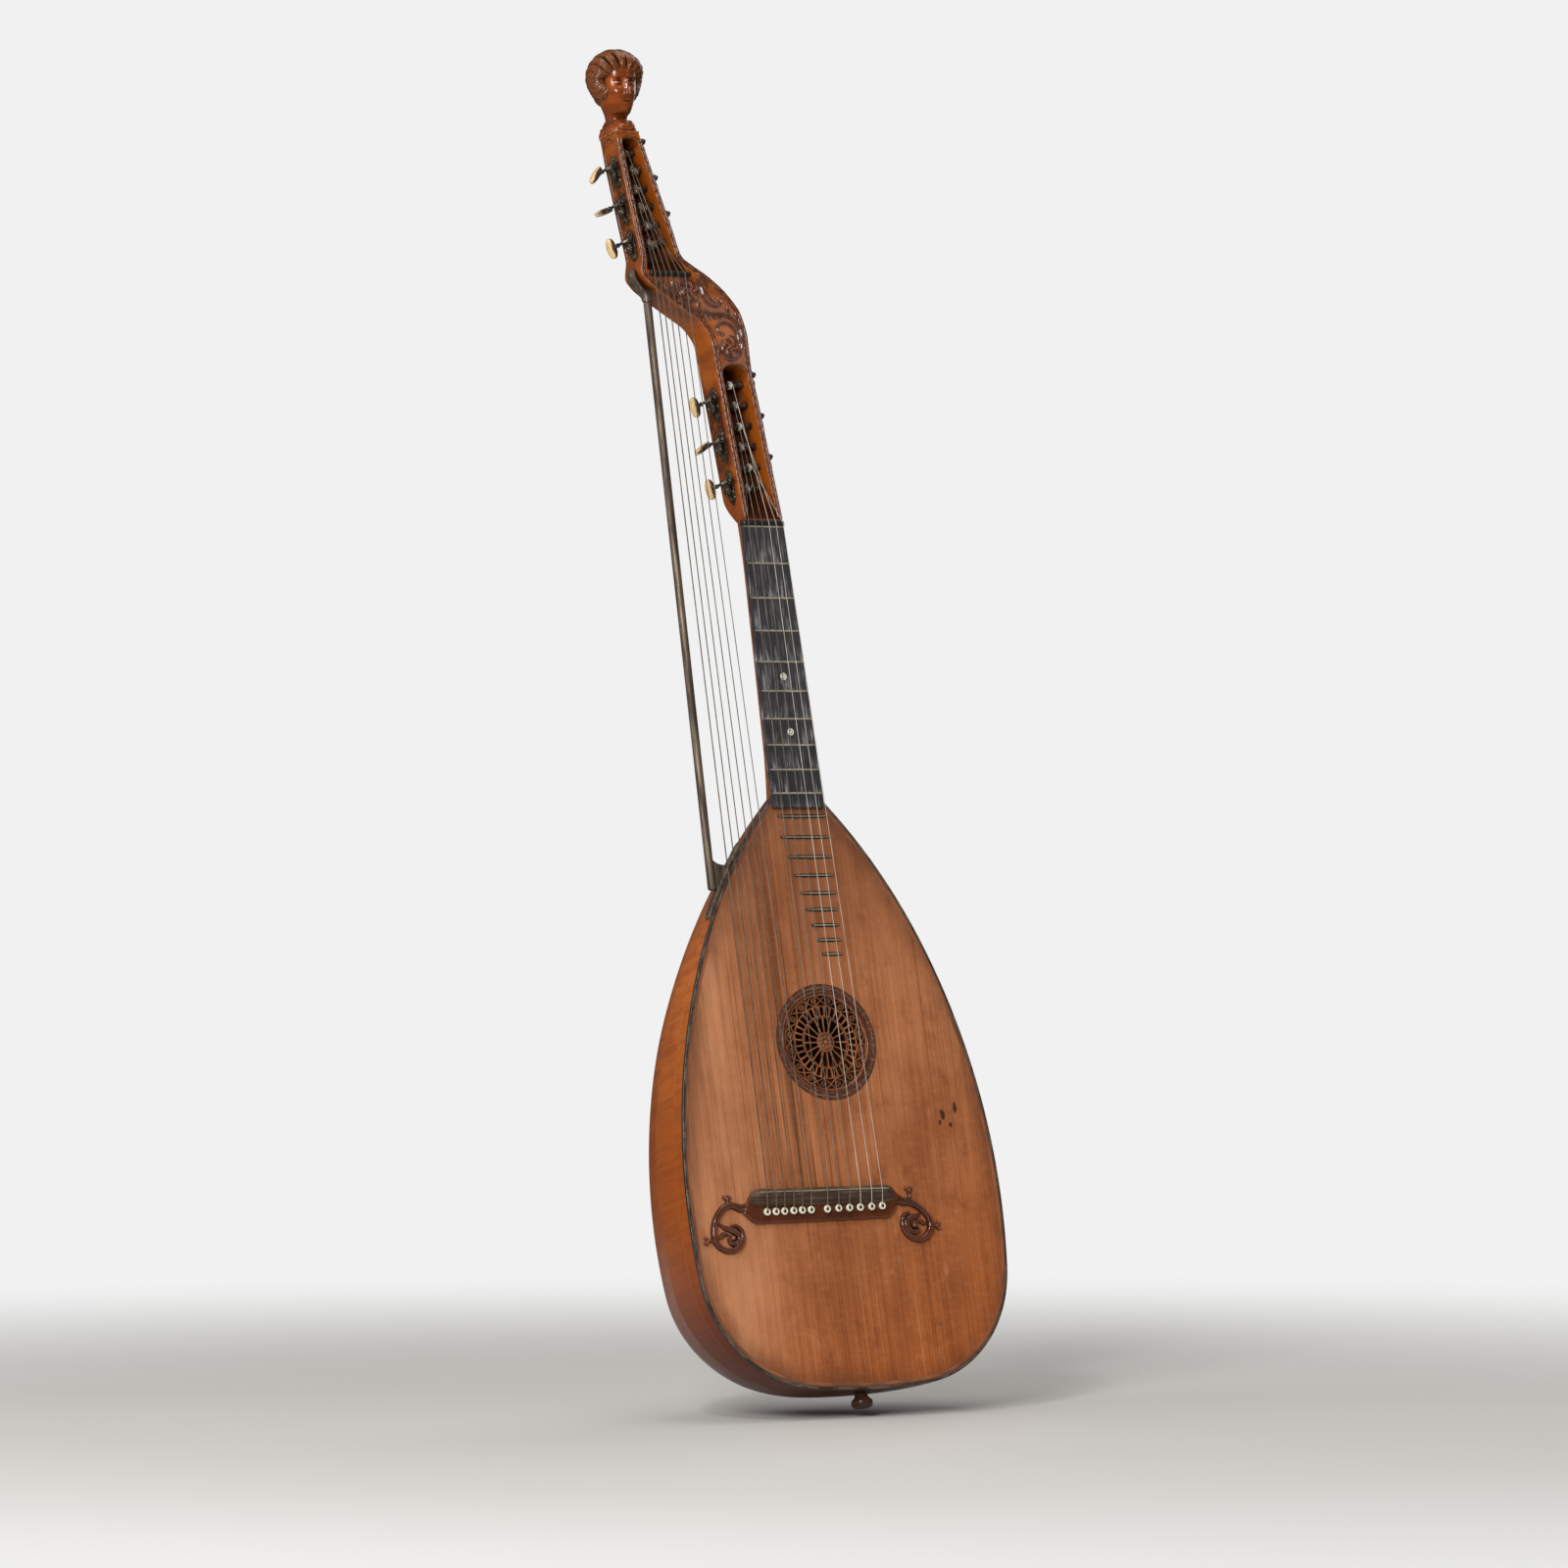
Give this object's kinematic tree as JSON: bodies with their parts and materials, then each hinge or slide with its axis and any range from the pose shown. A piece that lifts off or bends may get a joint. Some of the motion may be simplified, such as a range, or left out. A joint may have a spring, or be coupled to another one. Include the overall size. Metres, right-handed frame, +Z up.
{
  "type": "bass lute",
  "caption": "Swan-necked bass lute with a ribbed bowl back, fretted and free bass strings on two pegboxes with worm tuners, a scroll-ended bridge and a carved head.",
  "frame": {"origin": "middle of the end button's flat outer face, at the body's lower end", "axes": "+Z up along the strings to the carved head, -Y out of the soundboard, +X to the treble side"},
  "size_m": [0.3524, 0.1864, 1.3175],
  "materials": {
    "bridge_wood": "dark red-brown, polished",
    "carved_wood": "carved, dark and dry",
    "dark_brass": "aged, nearly black in the hollows",
    "ebonised": "ebonised, worn grey in places",
    "inner_wood": "bare spruce",
    "maple_head": "carved maple, glossy red-orange varnish",
    "maple_neck": "light orange satin varnish",
    "maple_ribs": "flamed maple, glossy orange-brown varnish",
    "plain_string": "clear plain string",
    "spruce": "aged reddish spruce, worn satin varnish",
    "tuner_steel": "dark patina",
    "wound_string": "wire wound, tarnished"
  },
  "bodies": {
    "lute": {"bass_nut": "ebonised", "bowl_back": "maple_ribs", "brace_lower": "inner_wood", "brace_upper": "inner_wood", "bridge": "bridge_wood", "bust_finial": "maple_head", "edge_binding": "ebonised", "end_block": "inner_wood", "end_button": "ebonised", "fingerboard": "ebonised", "neck": "maple_neck", "neck_block": "inner_wood", "nut": "ebonised", "pegbox_head": "maple_head", "rod_lower_bracket": "dark_brass", "rod_upper_bracket": "dark_brass", "rosette": "carved_wood", "saddle": "ebonised", "soundboard": "spruce", "string_01": "plain_string", "string_02": "plain_string", "string_03": "plain_string", "string_04": "wound_string", "string_05": "wound_string", "string_06": "wound_string", "string_07": "wound_string", "string_08": "wound_string", "string_09": "wound_string", "string_10": "wound_string", "string_11": "wound_string", "string_12": "wound_string", "support_rod": "dark_brass", "tuner_plate_lower_bass": "tuner_steel", "tuner_plate_lower_treble": "tuner_steel", "tuner_plate_upper_bass": "tuner_steel", "tuner_plate_upper_treble": "tuner_steel"},
    "roller_01": {"roller_01": "tuner_steel"},
    "key_01": {"key_01": "tuner_steel"},
    "roller_02": {"roller_02": "tuner_steel"},
    "key_02": {"key_02": "tuner_steel"},
    "roller_03": {"roller_03": "tuner_steel"},
    "key_03": {"key_03": "tuner_steel"},
    "roller_04": {"roller_04": "tuner_steel"},
    "key_04": {"key_04": "tuner_steel"},
    "roller_05": {"roller_05": "tuner_steel"},
    "key_05": {"key_05": "tuner_steel"},
    "roller_06": {"roller_06": "tuner_steel"},
    "key_06": {"key_06": "tuner_steel"},
    "roller_07": {"roller_07": "tuner_steel"},
    "key_07": {"key_07": "tuner_steel"},
    "roller_08": {"roller_08": "tuner_steel"},
    "key_08": {"key_08": "tuner_steel"},
    "roller_09": {"roller_09": "tuner_steel"},
    "key_09": {"key_09": "tuner_steel"},
    "roller_10": {"roller_10": "tuner_steel"},
    "key_10": {"key_10": "tuner_steel"},
    "roller_11": {"roller_11": "tuner_steel"},
    "key_11": {"key_11": "tuner_steel"},
    "roller_12": {"roller_12": "tuner_steel"},
    "key_12": {"key_12": "tuner_steel"}
  },
  "joints": [
    {"name": "key_01_turn", "type": "hinge", "parent": "lute", "child": "key_01", "pos_m": [-0.02817, -0.009, 0.88936], "axis": [0, 1, 0], "continuous": true},
    {"name": "roller_01_turn", "type": "hinge", "parent": "lute", "child": "roller_01", "pos_m": [-0.02752, -0.009, 0.88139], "axis": [0.9967, 0, 0.0815], "continuous": true},
    {"name": "key_02_turn", "type": "hinge", "parent": "lute", "child": "key_02", "pos_m": [0.02168, -0.009, 0.91377], "axis": [0, 1, 0], "continuous": true},
    {"name": "roller_02_turn", "type": "hinge", "parent": "lute", "child": "roller_02", "pos_m": [0.02233, -0.009, 0.9058], "axis": [0.9967, 0, 0.0815], "continuous": true},
    {"name": "key_03_turn", "type": "hinge", "parent": "lute", "child": "key_03", "pos_m": [-0.03104, -0.009, 0.9298], "axis": [0, 1, 0], "continuous": true},
    {"name": "roller_03_turn", "type": "hinge", "parent": "lute", "child": "roller_03", "pos_m": [-0.03039, -0.009, 0.92182], "axis": [0.9967, 0, 0.0815], "continuous": true},
    {"name": "key_04_turn", "type": "hinge", "parent": "lute", "child": "key_04", "pos_m": [0.01794, -0.009, 0.95413], "axis": [0, 1, 0], "continuous": true},
    {"name": "roller_04_turn", "type": "hinge", "parent": "lute", "child": "roller_04", "pos_m": [0.0186, -0.009, 0.94616], "axis": [0.9967, 0, 0.0815], "continuous": true},
    {"name": "key_05_turn", "type": "hinge", "parent": "lute", "child": "key_05", "pos_m": [-0.03391, -0.009, 0.97023], "axis": [0, 1, 0], "continuous": true},
    {"name": "roller_05_turn", "type": "hinge", "parent": "lute", "child": "roller_05", "pos_m": [-0.03326, -0.009, 0.96226], "axis": [0.9967, 0, 0.0815], "continuous": true},
    {"name": "key_06_turn", "type": "hinge", "parent": "lute", "child": "key_06", "pos_m": [0.01421, -0.009, 0.9945], "axis": [0, 1, 0], "continuous": true},
    {"name": "roller_06_turn", "type": "hinge", "parent": "lute", "child": "roller_06", "pos_m": [0.01486, -0.009, 0.98653], "axis": [0.9967, 0, 0.0815], "continuous": true},
    {"name": "key_07_turn", "type": "hinge", "parent": "lute", "child": "key_07", "pos_m": [-0.10574, -0.009, 1.12488], "axis": [0, 1, 0], "continuous": true},
    {"name": "roller_07_turn", "type": "hinge", "parent": "lute", "child": "roller_07", "pos_m": [-0.10433, -0.009, 1.117], "axis": [0.9844, 0, 0.1762], "continuous": true},
    {"name": "key_08_turn", "type": "hinge", "parent": "lute", "child": "key_08", "pos_m": [-0.05997, -0.009, 1.15155], "axis": [0, 1, 0], "continuous": true},
    {"name": "roller_08_turn", "type": "hinge", "parent": "lute", "child": "roller_08", "pos_m": [-0.05856, -0.009, 1.14367], "axis": [0.9844, 0, 0.1762], "continuous": true},
    {"name": "key_09_turn", "type": "hinge", "parent": "lute", "child": "key_09", "pos_m": [-0.10962, -0.009, 1.16113], "axis": [0, 1, 0], "continuous": true},
    {"name": "roller_09_turn", "type": "hinge", "parent": "lute", "child": "roller_09", "pos_m": [-0.10821, -0.009, 1.15326], "axis": [0.9844, 0, 0.1762], "continuous": true},
    {"name": "key_10_turn", "type": "hinge", "parent": "lute", "child": "key_10", "pos_m": [-0.06891, -0.009, 1.18689], "axis": [0, 1, 0], "continuous": true},
    {"name": "roller_10_turn", "type": "hinge", "parent": "lute", "child": "roller_10", "pos_m": [-0.0675, -0.009, 1.17902], "axis": [0.9844, 0, 0.1762], "continuous": true},
    {"name": "key_11_turn", "type": "hinge", "parent": "lute", "child": "key_11", "pos_m": [-0.11349, -0.009, 1.19738], "axis": [0, 1, 0], "continuous": true},
    {"name": "roller_11_turn", "type": "hinge", "parent": "lute", "child": "roller_11", "pos_m": [-0.11208, -0.009, 1.18951], "axis": [0.9844, 0, 0.1762], "continuous": true},
    {"name": "key_12_turn", "type": "hinge", "parent": "lute", "child": "key_12", "pos_m": [-0.07785, -0.009, 1.22224], "axis": [0, 1, 0], "continuous": true},
    {"name": "roller_12_turn", "type": "hinge", "parent": "lute", "child": "roller_12", "pos_m": [-0.07644, -0.009, 1.21436], "axis": [0.9844, 0, 0.1762], "continuous": true}
  ],
  "couplings": [
    {"joint": "roller_01_turn", "follows": "key_01_turn", "ratio": 0.071429},
    {"joint": "roller_02_turn", "follows": "key_02_turn", "ratio": 0.071429},
    {"joint": "roller_03_turn", "follows": "key_03_turn", "ratio": 0.071429},
    {"joint": "roller_04_turn", "follows": "key_04_turn", "ratio": 0.071429},
    {"joint": "roller_05_turn", "follows": "key_05_turn", "ratio": 0.071429},
    {"joint": "roller_06_turn", "follows": "key_06_turn", "ratio": 0.071429},
    {"joint": "roller_07_turn", "follows": "key_07_turn", "ratio": 0.071429},
    {"joint": "roller_08_turn", "follows": "key_08_turn", "ratio": 0.071429},
    {"joint": "roller_09_turn", "follows": "key_09_turn", "ratio": 0.071429},
    {"joint": "roller_10_turn", "follows": "key_10_turn", "ratio": 0.071429},
    {"joint": "roller_11_turn", "follows": "key_11_turn", "ratio": 0.071429},
    {"joint": "roller_12_turn", "follows": "key_12_turn", "ratio": 0.071429}
  ]
}
